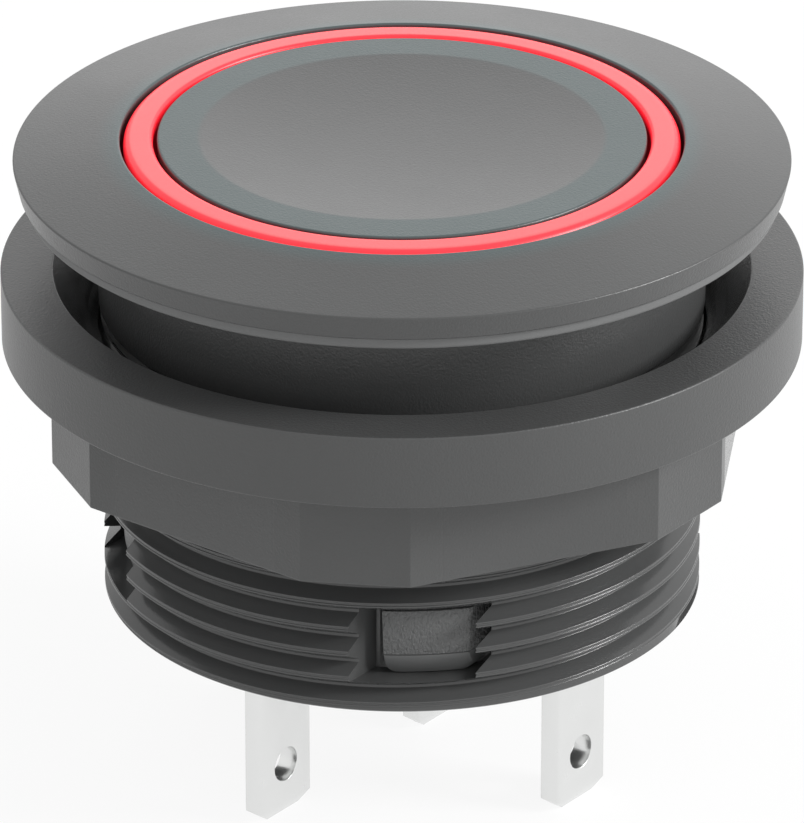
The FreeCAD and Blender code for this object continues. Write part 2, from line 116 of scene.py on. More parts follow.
class BezelSizes(bpy.types.PropertyGroup):
    """Sizes of the bezel, collar and gasket, at the front of the button."""

    rim_radius: length("Rim radius", "Outer radius of the bezel", housing_high.x)
    side_height: length("Side height", "Height of the bezel's upright side", 0.9 * MM)
    side_draft: length("Side draft", "How far the side leans in towards the panel", 0.2 * MM)
    edge_rounding: length("Edge rounding", "Rounding of the rim's upper edge", 0.06 * MM)
    mouth_radius: length("Mouth radius", "Radius of the opening round the ring", 10.2 * MM)
    mouth_rounding: length("Mouth rounding", "Rounding of the opening's edge", 0.08 * MM)
    mouth_drop: length("Mouth drop", "How far the mouth lies under the top", 0.06 * MM)
    # Painted light from the ring on the bezel round the mouth: its width and the height over which
    # it sets in.
    painted_light_width: length("Tint width", "Width of the ring's tint on the bezel", 1.0 * MM)
    painted_light_fade: length("Tint fade", "Height over which the tint sets in", 0.2 * MM)
    seat_depth: length("Seat depth", "Level of the sleeve's seat under the panel", 4.2 * MM)
    collar_radius: length("Collar radius", "Radius of the plain collar", 11.05 * MM)
    collar_length: length("Collar length", "Length of the plain collar", 4.35 * MM)
    collar_chamfer: length("Collar chamfer", "Bevel at the collar's end", 0.15 * MM)
    gasket_gap: length("Gasket gap", "Gap between the collar and the gasket", 0.05 * MM)
    gasket_edge: length("Gasket edge", "Rounding of the gasket's edges", 0.03 * MM)
    gasket_foot: length("Gasket foot", "Rounding of its outer edge by the panel", 0.13 * MM)


class BarrelSizes(bpy.types.PropertyGroup):
    """Sizes of the threaded barrel and its latch windows."""

    thread_radius: length("Thread radius", "Radius over the thread's crests", 11.0 * MM)
    thread_pitch: length("Thread pitch", "Rise of the thread in one turn", 1.0 * MM)
    thread_depth: length("Thread depth", "Depth of the thread's groove", 0.55 * MM)
    crest_width: length("Crest width", "Width of the crest", 0.19 * MM)
    crest_groove: length("Crest groove", "Depth of the fine groove along the crest", 0.03 * MM)
    root_width: length("Root width", "Width of the flat in the root", 0.12 * MM)
    crest_rounding: length("Crest rounding", "Rounding of the crest's edges", 0.028 * MM)
    root_rounding: length("Root rounding", "Rounding of the root's corners", 0.05 * MM)
    thread_start: length("Thread start", "Where the thread begins, under the panel", 4.55 * MM)
    lead_in: length("Lead-in", "Length over which the groove fades in by the collar", 0.5 * MM)
    run_out: length("Run-out", "Length over which the groove ends at the barrel's end", 0.07 * MM)
    thread_level: length("Thread level", "Level of a crest on the X axis", -12.01 * MM)
    bore_radius: length("Bore radius", "Radius of the barrel's bore", 9.6 * MM)
    end_chamfer: length("End chamfer", "Bevel at the barrel's outer end", 0.06 * MM)
    bore_chamfer: length("Bore chamfer", "Bevel at the barrel's inner end", 0.4 * MM)
    window_inner: length("Window inner side", "Side of the window nearer the axis", 5.15 * MM)
    window_outer: length("Window outer side", "Side of the window farther out", 8.65 * MM)
    window_top: length("Window top", "Window's upper edge, under the panel", 11.82 * MM)
    window_bottom: length("Window bottom", "Window's lower edge, under the panel", 14.6 * MM)
    columns: count("Columns", "Divisions round the axis", 240, 60, 360)


class NutSizes(bpy.types.PropertyGroup):
    """Sizes of the mounting nut."""

    flange_thickness: length("Flange thickness", "Height of the round flange", 2.73 * MM)
    across_flats: length("Across flats", "Width over two of the six flats", 24.42 * MM)
    across_corners: length("Across corners", "Width over two cut corners", 25.94 * MM)
    turn: degrees("Turn", "How far the nut is screwed round", 0.7)
    corner_rounding: length("Corner rounding", "Rounding between the flats", 0.06 * MM)
    edge_rounding: length("Edge rounding", "Rounding of the flange's edges", 0.07 * MM)
    hexagon_rounding: length("Hexagon rounding", "Rounding of the hexagon's lower edge", 0.05 * MM)
    bore_radius: length("Bore radius", "Radius of the bore", 11.1 * MM)
    bore_chamfer: length("Bore chamfer", "Bevel at the bore's lower end", 0.3 * MM)
    throat_step: length("Throat step", "Step from the bore to the funnel", 0.35 * MM)
    funnel_flare: length("Funnel flare", "How far the funnel opens", 1.26 * MM)
    funnel_depth: length("Funnel depth", "Depth of the funnel", 1.75 * MM)
    funnel_bulge: length("Funnel bulge", "How far its wall curves inwards", 0.21 * MM)
    funnel_rounding: length("Funnel rounding", "Radius of that curve", 1.2 * MM)
    mouth_rounding: length("Mouth rounding", "Rounding of the funnel's mouth", 0.06 * MM)
    under_width: length("Under width", "Width of the flange's turned underside", 1.0 * MM)


class ButtonSizes(bpy.types.PropertyGroup):
    """Sizes of the light ring and the dished cap."""

    ring_bore: length("Ring bore", "Inner radius of the light ring", 9.0 * MM)
    ring_drop: length("Ring drop", "How far the ring lies under the top", 0.04 * MM)
    ring_rounding: length("Ring rounding", "Rounding of the ring's inner edge", 0.16 * MM)
    ring_shoulder: length("Ring shoulder", "Rounding of the ring's outer edge", 0.3 * MM)
    ring_fall: length("Ring fall", "How far the ring's top falls to its outer edge", 0.03 * MM)
    ring_foot: length("Ring foot", "Where the ring's wall ends, under the panel", 3.5 * MM)
    ring_ledge: length("Ring ledge", "Where the ring's inner ledge lies", 2.55 * MM)
    guide_radius: length("Guide radius", "Outer radius of the light tube", 8.6 * MM)
    guide_bore: length("Guide bore", "Inner radius of the light tube", 7.9 * MM)
    dish_radius: length("Dish radius", "Radius of the dish's edge", 7.35 * MM)
    dish_depth: length("Dish depth", "Depth of the dish", 0.5 * MM)
    dish_rounding: length("Dish rounding", "Rounding of the dish's edge", 0.25 * MM)
    # Half the width of the edge of the painted light on the cap's border.
    painted_border_fade: length("Border fade", "Half the width of the tint's edge", 0.15 * MM)
    cap_rounding: length("Cap rounding", "Rounding of the cap's edge", 0.08 * MM)
    ring_gap: length("Ring gap", "Gap between the cap and the ring", 0.15 * MM)
    cap_drop: length("Cap drop", "How far the cap lies under the top", 0.06 * MM)
    cap_wall: length("Cap wall", "Thickness of the cap's skirt", 0.9 * MM)
    cap_roof: length("Cap roof", "Thickness of the cap under the dish", 1.1 * MM)
    roof_rounding: length("Roof rounding", "Rounding inside the cap", 0.1 * MM)
    glow_start: length("Glow start", "Depth down to which the ring's sides glow fully", 0.16 * MM)
    glow_end: length("Glow end", "Depth at which the glow ends", 0.5 * MM)


class LatchSizes(bpy.types.PropertyGroup):
    """Sizes of the latch sleeve and its four snap lugs."""

    wall: length("Wall", "Thickness of the sleeve's wall", 0.8 * MM)
    radius: length("Radius", "Outer radius of the sleeve", 9.5 * MM)
    flange: length("Flange", "Thickness of the sleeve's flange", 0.7 * MM)
    lip_width: length("Lip width", "How far the end lip stands in", 0.25 * MM)
    lip_height: length("Lip height", "Height of the end lip", 0.2 * MM)
    side_gap: length("Side gap", "Gap from a lug to its window's side", 0.56 * MM)
    top_gap: length("Top gap", "Gap over a lug", 0.2 * MM)
    bottom_gap: length("Bottom gap", "Gap under a lug", 0.05 * MM)
    projection: length("Projection", "How far a lug stands out", 0.75 * MM)
    lead: length("Lead", "How far a lug's lead-in slopes back", 0.2 * MM)
    lead_height: length("Lead height", "Height of a lug's lead-in", 0.77 * MM)
    lug_draft: length("Lug draft", "How far a lug's sides lean in at its foot", 0.08 * MM)
    lug_rounding: length("Lug rounding", "Rounding of a lug's lower corners", 0.3 * MM)
    edge: length("Edge", "Bevel along a lug's edges", 0.035 * MM)
    streak_width: length("Streak width", "Size of the upright streaks on a lug", 0.09 * MM)
    streak_depth: length("Streak depth", "Depth of the streaks", 0.14 * MM)
    slot_width: length("Slot width", "Width of the slots beside a tongue", 0.5 * MM)
    slot_length: length("Slot length", "Length of the slots beside a tongue", 5.8 * MM)


class TerminalSizes(bpy.types.PropertyGroup):
    """Sizes of the four terminals."""

    tab_width: length("Tab width", "Width of a tab", 2.8 * MM)
    neck_width: length("Neck width", "Width of the neck in the carrier", 1.6 * MM)
    shoulder_drop: length("Shoulder drop", "Gap under the sleeve's end", 0.05 * MM)
    corner_width: length("Corner width", "Width of the cut at the tip's corners", 0.5 * MM)
    corner_height: length("Corner height", "Height of the cut at the corners", 0.4 * MM)
    coin: length("Coin", "How far each face is coined in at the tip", 0.18 * MM)
    coin_height: length("Coin height", "Height of the coined tip", 0.4 * MM)
    hole_radius: length("Hole radius", "Radius of the detent hole", 0.65 * MM)
    hole_height: length("Hole height", "Height of the hole over the tip", 2.0 * MM)
    edge: length("Edge", "Rounding that stamping leaves on the edges", 0.035 * MM)
    arm_level: length("Arm level", "Underside of the contact arms", -14.2 * MM)


class SpringSizes(bpy.types.PropertyGroup):
    """Sizes of the return spring and the contact spring."""

    return_wire: length("Return wire", "Thickness of the return spring's wire", 0.4 * MM)
    return_stroke: length("Return stroke", "How far the button shortens it", 2.0 * MM)
    contact_wire: length("Contact wire", "Thickness of the contact spring's wire", 0.24 * MM)
    contact_stroke: length("Contact stroke", "How far the bridge shortens it", 0.82 * MM)
    end_gap: length("End gap", "Gap between a spring's end and its seat", 0.01 * MM)
    turns: count("Turns", "Turns of a spring", 6, 2, 12)


class FinishColours(bpy.types.PropertyGroup):
    """Colours of the visible finishes."""

    housing: colour("Housing", "Bezel, collar and barrel", (0.06, 0.061, 0.061))
    # Painted light: the bezel's colour where the ring's light is painted on it.
    housing_lit: colour("Housing by the ring", "Bezel next to the ring", (0.055, 0.078, 0.08))
    nut: colour("Nut", "Mounting nut", (0.06, 0.061, 0.061))
    gasket: colour("Gasket", "Panel gasket", (0.12, 0.122, 0.122))
    cap: colour("Cap", "Dish of the cap", (0.074, 0.075, 0.075))
    # Painted light: the cap's colour where the ring's light is painted on its level border.
    cap_lit: colour("Cap by the ring", "Cap's level border", (0.054, 0.077, 0.078))
    sleeve: colour("Sleeve", "Latch sleeve", (0.1, 0.102, 0.102))
    ring: colour("Ring", "Body of the light ring", (0.6, 0.03, 0.04))
    # The ring really glows from its lamps. Its pink top is partly painted light falling from above,
    # and the dark deep glow is painted shade in the gaps.
    ring_glow: colour("Ring glow", "Light from the ring's top", (0.86, 0.078, 0.08))
    ring_side_glow: colour("Ring side glow", "Light from the ring's sides", (0.8, 0.006, 0.018))
    ring_deep_glow: colour("Ring deep glow", "Light from deep in the gaps", (0.04, 0.0, 0.001))
    tin: colour("Tin", "Plating of the tabs", (0.78, 0.785, 0.78))
    floor: colour("Floor", "Floor under the button", (0.88, 0.88, 0.88))


class StageSizes(bpy.types.PropertyGroup):
    """Camera, lights and floor."""

    camera_reach: length("Camera reach", "Distance from the camera to the axis", 0.30091)
    camera_drop: length("Camera drop", "Level that the camera looks at", -9.053 * MM)
    focal_length: amount("Focal length", "Lens of the camera", 358.7, unit="CAMERA")
    turn: degrees("Turn", "Angle of the camera round the button", -52)
    tilt: degrees("Tilt", "Angle of the camera over the floor", 25.942)
    key_power: amount("Key power", "Power of the soft key light", 2.4, unit="POWER")
    key_width: length("Key width", "Width of the soft key light", 0.16)
    fill_power: amount("Fill power", "Power of the broad fill light", 0.22, unit="POWER")
    fill_width: length("Fill width", "Width of the broad fill light", 0.35)
    light_reach: length("Light reach", "Distance of the two lights", 0.5)
    key_place: direction("Key place", "Direction of the key light", (0.95, -0.2, 0.5))
    fill_place: direction("Fill place", "Direction of the fill light", (0.1, 0.9, 0.35))
    surroundings: amount("Surroundings", "Light from all round", 0.78, min=0, max=2)
    floor_width: length("Floor width", "Width of the floor", 3.0)
    floor_white: amount("Floor white", "How far it looks plain white", 0.9, min=0, max=1)


class Number:
    """One output of a shader node, which can stand in sums and products."""

    def __init__(self, nodes, socket):
        self.nodes = nodes
        self.socket = socket

    def maths(self, operation, left, right):
        return self.nodes.node("ShaderNodeMath", {"operation": operation}, {0: left, 1: right})

    def __add__(self, other):
        return self.maths("ADD", self, other)

    def __radd__(self, other):
        return self.maths("ADD", other, self)

    def __sub__(self, other):
        return self.maths("SUBTRACT", self, other)

    def __rsub__(self, other):
        return self.maths("SUBTRACT", other, self)

    def __mul__(self, other):
        return self.maths("MULTIPLY", self, other)

    def __rmul__(self, other):
        return self.maths("MULTIPLY", other, self)

    def __pow__(self, other):
        return self.maths("POWER", self, other)


class Nodes:
    """The nodes of a material or a world, round its one shader."""

    def __init__(self, owner, shader):
        owner.use_nodes = True
        self.tree = owner.node_tree
        self.shader = self.tree.nodes[shader]

    def node(self, kind, settings=None, sockets=None, output=0):
        """Adds a node with its settings and its sockets' values or links, and gives one output."""
        made = self.tree.nodes.new(kind)
        for name, value in (settings or {}).items():
            setattr(made, name, value)
        for name, value in (sockets or {}).items():
            if isinstance(value, Number):
                self.tree.links.new(value.socket, made.inputs[name])
            else:
                made.inputs[name].default_value = value
        return Number(self, made.outputs[output])

    def feed(self, socket, value):
        self.tree.links.new(value.socket, self.shader.inputs[socket])

    def seen_by(self, *rays):
        """1 for rays of these kinds, 0 for all others."""
        first, *others = [self.node("ShaderNodeLightPath", output=f"Is {ray} Ray") for ray in rays]
        return sum(others, first)


class Finish(Nodes):
    """A material made of nodes round one surface shader."""

    def __init__(self, name, settings):
        self.material = bpy.data.materials.new(name)
        super().__init__(self.material, "Principled BSDF")
        for socket, value in settings.items():
            self.shader.inputs[socket].default_value = value

    def place(self):
        """The point on the object, in metres."""
        return self.node("ShaderNodeTexCoord", output="Object")

    def axis(self, name):
        return self.node("ShaderNodeSeparateXYZ", sockets={0: self.place()}, output=name)

    def facing_up(self):
        """How far the surface faces up: the Z part of its direction."""
        direction = self.node("ShaderNodeTexCoord", output="Normal")
        return self.node("ShaderNodeSeparateXYZ", sockets={0: direction}, output="Z")

    def radius(self):
        """Distance from the button's axis."""
        x = self.axis("X")
        y = self.axis("Y")
        return (x * x + y * y) ** 0.5

    def ramp(self, value, low, high):
        """Rises smoothly from 0 at low to 1 at high."""
        return self.node(
            "ShaderNodeMapRange",
            {"interpolation_type": "SMOOTHSTEP"},
            {"Value": value, "From Min": low, "From Max": high},
        )

    def noise(self, size, detail=2.0, stretch=None):
        """A random pattern whose spots are about that size, drawn out along the axes by stretch."""
        place = self.place()
        if stretch:
            sockets = {0: place, 1: stretch}
            place = self.node("ShaderNodeVectorMath", {"operation": "MULTIPLY"}, sockets)
        return self.node(
            "ShaderNodeTexNoise", sockets={"Vector": place, "Scale": 1 / size, "Detail": detail}
        )

    def blend(self, share, first, second):
        """The first colour where the share is 0, the second where it is 1."""
        return self.node(
            "ShaderNodeMix", {"data_type": "RGBA"}, {0: share, 6: first, 7: second}, output=2
        )

    def shades(self, share, values, first, second):
        """The colour times first where the share is 0, times second where it is 1."""
        return self.blend(share, shaded(values, first), shaded(values, second))

    def bump(self, height, depth):
        """Raises the surface by up to depth where the height is 1."""
        sockets = {"Height": height, "Distance": depth, "Strength": 1.0}
        self.feed("Normal", self.node("ShaderNodeBump", sockets=sockets))


def opaque(values):
    return (*values, 1.0)


def shaded(values, share):
    """The colour times that number."""
    return opaque([value * share for value in values])


def moulded_plastic(
    name, base, grain_size, grain_depth, roughness, polished_below=None, upright_grain=1
):
    """Plastic from a spark-eroded mould, with a fine pitted grain.

    The grain is fainter below the polished level, and deeper by that many times on upright faces.
    """
    pit_share = 0.4
    fine_rough, broad_rough = 0.14, 0.06
    polished_grain, polished_away = 0.25, 0.14
    finish = Finish(name, {"IOR": 1.5})
    fine = finish.noise(grain_size, detail=3.0)
    pits = finish.node(
        "ShaderNodeTexVoronoi",
        {"feature": "SMOOTH_F1"},
        {"Vector": finish.place(), "Scale": 0.7 / grain_size},
    )
    broad = finish.noise(60 * grain_size)
    grain = (1 - pit_share) * fine + pit_share * pits
    if upright_grain != 1:
        facing_up = finish.facing_up()
        level_face = finish.ramp(facing_up * facing_up, 0.05, 0.25)
        grain = grain * (upright_grain - (upright_grain - 1) * level_face)
    rough = roughness - (fine_rough + broad_rough) / 2 + fine_rough * fine + broad_rough * broad
    if polished_below is not None:
        level = finish.axis("Z")
        polish = 1 - finish.ramp(level, polished_below - 0.1 * MM, polished_below + 0.1 * MM)
        grain = grain * (1 - (1 - polished_grain) * polish)
        rough = rough - polished_away * polish
    if grain_depth:
        finish.bump(grain, grain_depth)
    finish.feed("Roughness", rough)
    finish.feed("Base Color", finish.shades(broad, base, 0.94, 1.06))
    return finish


def light_up(finish, share, plain, lit):
    """Paints light: changes the colour to the lit one where the share is 1."""
    mottle = finish.noise(3 * MM)
    dull = finish.shades(mottle, plain, 0.95, 1.05)
    bright = finish.shades(mottle, lit, 0.95, 1.05)
    finish.feed("Base Color", finish.blend(share, dull, bright))


def rounded_path(corners, closed):
    """Points along a path of (across, up, rounding) corners, with an arc at each rounded corner."""
    points = []
    for number, (across, up, rounding) in enumerate(corners):
        here = Vector((across, up))
        if rounding == 0 or (not closed and number in (0, len(corners) - 1)):
            points.append(here)
            continue
        before = (Vector(corners[number - 1][:2]) - here).normalized()
        after = (Vector(corners[(number + 1) % len(corners)][:2]) - here).normalized()
        half = before.angle(after) / 2
        turn = math.pi - 2 * half
        centre = here + (before + after).normalized() * (rounding / math.sin(half))
        reach = rounding / math.tan(half)
        first = here + before * reach - centre
        last = here + after * reach - centre
        steps = max(2, math.ceil(turn / ROUNDING_STEP))
        points.append(here + before * (reach + rounding * ROUNDING_LEAD))
        for step in range(steps + 1):
            to_last = math.sin(turn * step / steps)
            to_first = math.sin(turn * (1 - step / steps))
            points.append(centre + (first * to_first + last * to_last) / math.sin(turn))
        points.append(here + after * (reach + rounding * ROUNDING_LEAD))
    return points


def even_angles(columns):
    return [2 * math.pi * column / columns for column in range(columns)]


def ringed_form(form, angles, rows, closed):
    """Adds a surface through rings of points. A row is a radius for each angle, and a level."""
    rings = []
    for radii, level in rows:
        if max(radii) == 0:
            rings.append([form.verts.new((0, 0, level))] * len(angles))
            continue
        ring = []
        for angle, radius in zip(angles, radii):
            ring.append(form.verts.new((radius * math.cos(angle), radius * math.sin(angle), level)))
        rings.append(ring)
    following = rings[1:] + rings[:1] if closed else rings[1:]
    for low, high in zip(rings, following):
        for column in range(len(angles)):
            beside = (column + 1) % len(angles)
            corners = dict.fromkeys((low[column], low[beside], high[beside], high[column]))
            if len(corners) > 2:
                form.faces.new(list(corners))


def turned_form(corners, columns, closed=True):
    """A form turned about the Z axis from rounded (radius, z, rounding) corners."""
    form = bmesh.new()
    rows = [([point.x] * columns, point.y) for point in rounded_path(corners, closed)]
    ringed_form(form, even_angles(columns), rows, closed)
    return form


def smooth(mesh):
    """Shades a mesh smooth, apart from its real edges."""
    mesh.shade_smooth()
    mesh.set_sharp_from_angle(angle=SHARP_ANGLE)


def new_object(form, name):
    bmesh.ops.recalc_face_normals(form, faces=form.faces)
    mesh = bpy.data.meshes.new(name)
    form.to_mesh(mesh)
    form.free()
    smooth(mesh)
    piece = bpy.data.objects.new(name, mesh)
    bpy.context.scene.collection.objects.link(piece)
    return piece


def apply_modifiers(piece):
    """Makes the mesh that the modifiers give the piece's own."""
    depsgraph = bpy.context.evaluated_depsgraph_get()
    mesh = bpy.data.meshes.new_from_object(piece.evaluated_get(depsgraph))
    piece.modifiers.clear()
    piece.data = mesh
    smooth(mesh)


def combine(piece, form, operation):
    """Cuts a form out of a piece, or keeps only what both share."""
    other = new_object(form, "tool")
    modifier = piece.modifiers.new("combine", "BOOLEAN")
    modifier.operation = operation
    modifier.solver = "EXACT"
    modifier.object = other
    apply_modifiers(piece)
    bpy.data.objects.remove(other)


def box_form(boxes):
    """Boxes from their (low x, high x, low y, high y, low z, high z)."""
    form = bmesh.new()
    for low_x, high_x, low_y, high_y, low_z, high_z in boxes:
        made = bmesh.ops.create_cube(form, size=1.0)
        size = Vector((high_x - low_x, high_y - low_y, high_z - low_z))
        middle = Vector((high_x + low_x, high_y + low_y, high_z + low_z)) / 2
        bmesh.ops.scale(form, vec=size, verts=made["verts"])
        bmesh.ops.translate(form, vec=middle, verts=made["verts"])
    return form


def settle(piece, material, body, slot, *nodes):
    """Gives a piece its material and its body, and hides the nodes that it stands for. The slot is
    not used.
    """
    piece.data.materials.clear()
    piece.data.materials.append(material)
    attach(piece, body)
    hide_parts(*nodes)


def thread_form(form, barrel, low_level, high_level):
    """Adds the right-handed thread between two levels, in columns up the barrel."""
    pitch = barrel.thread_pitch
    crest = barrel.thread_radius
    root = crest - barrel.thread_depth
    half_crest = barrel.crest_width / 2
    half_root = barrel.root_width / 2
    valley = crest - barrel.crest_groove
    land = half_crest / 2
    section = rounded_path(
        [
            (valley, 0, 0),
            (valley, land / 2, barrel.crest_rounding / 2),
            (crest, land, barrel.crest_rounding),
            (crest, half_crest, barrel.crest_rounding),
            (root, pitch / 2 - half_root, barrel.root_rounding),
            (root, pitch / 2 + half_root, barrel.root_rounding),
            (crest, pitch - half_crest, barrel.crest_rounding),
            (crest, pitch - land, barrel.crest_rounding),
            (valley, pitch - land / 2, barrel.crest_rounding / 2),
            (valley, pitch, 0),
        ],
        closed=False,
    )[:-1]
    first_turn = math.floor((low_level - barrel.thread_level) / pitch) - 1
    last_turn = math.ceil((high_level - barrel.thread_level) / pitch)
    columns = []
    for angle in even_angles(barrel.columns):
        column = []
        for turn in range(first_turn, last_turn + 1):
            for point in section:
                level = barrel.thread_level + pitch * (turn + angle / (2 * math.pi)) + point.y
                level = min(max(level, low_level), high_level)
                from_end = (level - low_level) / barrel.run_out
                from_collar = (high_level - level) / barrel.lead_in
                share = math.sin(min(from_end, from_collar, 1) * math.pi / 2)
                radius = crest - (crest - point.x) * share
                place = (radius * math.cos(angle), radius * math.sin(angle), level)
                column.append(form.verts.new(place))
        columns.append(column)
    columns.append(columns[0][len(section):])
    for column, beside in zip(columns, columns[1:]):
        for row in range(len(beside) - 1):
            form.faces.new((column[row], beside[row], beside[row + 1], column[row + 1]))


class PUSH_BUTTON_OT_housing(bpy.types.Operator):
    """Makes the bezel, collar and threaded barrel in one moulding, with the latch windows"""

    bl_idname = "push_button.housing"
    bl_label = "Housing"

    def execute(self, context):
        bezel = context.scene.push_button_bezel
        barrel = context.scene.push_button_barrel
        colours = context.scene.push_button_colours
        mouth_top = ring_high.z - bezel.mouth_drop
        rim_top = gasket_high.z + bezel.side_height
        end = housing_low.z
        low_level = end + barrel.end_chamfer
        high_level = -barrel.thread_start
        chamfer = bezel.collar_chamfer
        form = turned_form(
            [
                (barrel.thread_radius, low_level, 0),
                (barrel.thread_radius - barrel.end_chamfer, end, FINE_EDGE),
                (barrel.bore_radius + barrel.bore_chamfer, end, SOFT_EDGE),
                (barrel.bore_radius, end + barrel.bore_chamfer, SOFT_EDGE),
                (barrel.bore_radius, -bezel.seat_depth, 0),
                (bezel.mouth_radius, -bezel.seat_depth, 0),
                (bezel.mouth_radius, mouth_top, bezel.mouth_rounding),
                (bezel.rim_radius, rim_top, bezel.edge_rounding),
                (bezel.rim_radius - bezel.side_draft, gasket_high.z, SOFT_EDGE),
                (bezel.collar_radius, gasket_high.z, 0),
                (bezel.collar_radius, -bezel.collar_length + chamfer, SMALL_EDGE),
                (barrel.thread_radius - chamfer, -bezel.collar_length, SMALL_EDGE),
                (barrel.thread_radius, high_level, 0),
            ],
            barrel.columns,
            closed=False,
        )
        thread_form(form, barrel, low_level, high_level)
        bmesh.ops.remove_doubles(form, verts=form.verts, dist=WELD_DISTANCE)
        piece = new_object(form, "housing_moulding")
        inner, outer = barrel.window_inner, barrel.window_outer
        reach = bezel.rim_radius
        levels = (-barrel.window_bottom, -barrel.window_top)
        windows = [(-reach, reach, inner, outer, *levels), (-reach, reach, -outer, -inner, *levels)]
        combine(piece, box_form(windows), "DIFFERENCE")
        finish = moulded_plastic(
            "housing_grained",
            colours.housing,
            grain_size=0.07 * MM,
            grain_depth=0.01 * MM,
            roughness=0.33,
            polished_below=-bezel.collar_length,
            upright_grain=2,
        )
        # Painted light from the ring on the bezel round the mouth, fading in above the rim's top.
        mouth = bezel.mouth_radius
        near = 1 - finish.ramp(finish.radius(), mouth, mouth + bezel.painted_light_width)
        front = finish.ramp(finish.axis("Z"), rim_top, rim_top + bezel.painted_light_fade)
        light_up(finish, near * front, colours.housing, colours.housing_lit)
        settle(piece, finish.material, "root", "bezel_plastic", "bezel_housing")
        return {"FINISHED"}


class PUSH_BUTTON_OT_gasket(bpy.types.Operator):
    """Makes the gasket under the bezel"""

    bl_idname = "push_button.gasket"
    bl_label = "Gasket"

    def execute(self, context):
        bezel = context.scene.push_button_bezel
        inner = bezel.collar_radius + bezel.gasket_gap
        outer = gasket_high.x
        columns = context.scene.push_button_barrel.columns
        form = turned_form(
            [
                (inner, gasket_low.z, bezel.gasket_edge),
                (inner, gasket_high.z, 0),
                (outer, gasket_high.z, bezel.gasket_edge),
                (outer, gasket_low.z, bezel.gasket_foot),
            ],
            columns,
        )
        piece = new_object(form, "gasket_ring")
        colours = context.scene.push_button_colours
        finish = moulded_plastic(
            "gasket_rubber",
            colours.gasket,
            grain_size=0.12 * MM,
            grain_depth=0.01 * MM,
            roughness=0.6,
        )
        settle(piece, finish.material, "root", "gasket_rubber", "panel_gasket")
        return {"FINISHED"}


def nut_outline(nut):
    """Angles and radii round the hexagon with its corners cut off, near enough for the flange."""
    reaches = (nut.across_flats / 2, nut.across_corners / 2)
    between = math.radians(30)
    corners = []
    for number in range(12):
        angle = nut.turn + number * between
        reach, next_reach = reaches[number % 2], reaches[(number + 1) % 2]
        along = (next_reach - reach * math.cos(between)) / math.sin(between)
        x = reach * math.cos(angle) - along * math.sin(angle)
        y = reach * math.sin(angle) + along * math.cos(angle)
        corners.append((x, y, nut.corner_rounding))
    outline = rounded_path(corners, closed=True)
    angles, radii = [], []
    for here, there in zip(outline, outline[1:] + outline[:1]):
        span = here.angle(there)
        steps = max(1, math.ceil(span / OUTLINE_STEP))
        for step in range(steps):
            point = here.lerp(there, step / steps)
            angles.append(math.atan2(point.y, point.x))
            radii.append(point.length)
    return angles, radii


class PUSH_BUTTON_OT_nut(bpy.types.Operator):
    """Makes the mounting nut"""

    bl_idname = "push_button.nut"
    bl_label = "Mounting nut"

    def execute(self, context):
        nut = context.scene.push_button_nut
        colours = context.scene.push_button_colours
        top, bottom = nut_high.z, nut_low.z
        flange_under = top - nut.flange_thickness
        outer = nut_high.x
        throat = nut.bore_radius + nut.throat_step
        mouth = throat + nut.funnel_flare
        middle_radius = (throat + mouth) / 2 - nut.funnel_bulge
        middle_level = top - nut.funnel_depth / 2 - nut.funnel_bulge
        small = SMALL_EDGE
        angles, hexagon = nut_outline(nut)
        section = rounded_path(
            [
                (nut.bore_radius + nut.bore_chamfer, bottom, small),
                (nut.bore_radius, bottom + nut.bore_chamfer, small),
                (nut.bore_radius, top - nut.funnel_depth - nut.throat_step, small),
                (throat, top - nut.funnel_depth, small),
                (middle_radius, middle_level, nut.funnel_rounding),
                (mouth, top, nut.mouth_rounding),
                (outer, top, nut.edge_rounding),
                (outer, flange_under, nut.edge_rounding),
                (outer - nut.under_width, flange_under, 0),
            ],
            closed=False,
        )
        rows = [([nut.bore_radius + nut.bore_chamfer + small] * len(angles), bottom)]
        rows += [([point.x] * len(angles), point.y) for point in section[1:]]
        edge = nut.hexagon_rounding
        middle = 0.3  # of a rounding, from its corner to the middle of its arc
        lead = 1.4  # of a rounding, from its corner to the next row
        hexagon_rows = [
            (-2 * small, flange_under),
            (-small, flange_under),
            (-middle * small, flange_under - middle * small),
            (0, flange_under - small),
            (0, flange_under - 2 * small),
            (0, bottom + lead * edge),
            (0, bottom + edge),
            (middle * edge, bottom + middle * edge),
            (edge, bottom),
            (lead * edge, bottom),
        ]
        for depth, level in hexagon_rows:
            rows.append(([radius - depth for radius in hexagon], level))
        form = bmesh.new()
        ringed_form(form, angles, rows, closed=True)
        piece = new_object(form, "nut_moulding")
        grain_size = 0.07 * MM
        finish = moulded_plastic(
            "nut_grained", colours.nut, grain_size, grain_depth=0.02 * MM, roughness=0.38
        )
        polished, matt, patchy = 0.14, 0.34, 0.08
        rim = finish.ramp(finish.radius(), mouth - 0.02 * MM, mouth + 0.04 * MM)
        rough = polished + (matt - polished) * rim + patchy * finish.noise(grain_size)
        finish.feed("Roughness", rough)
        settle(piece, finish.material, "nut", "nut_plastic", "mounting_nut")
        return {"FINISHED"}


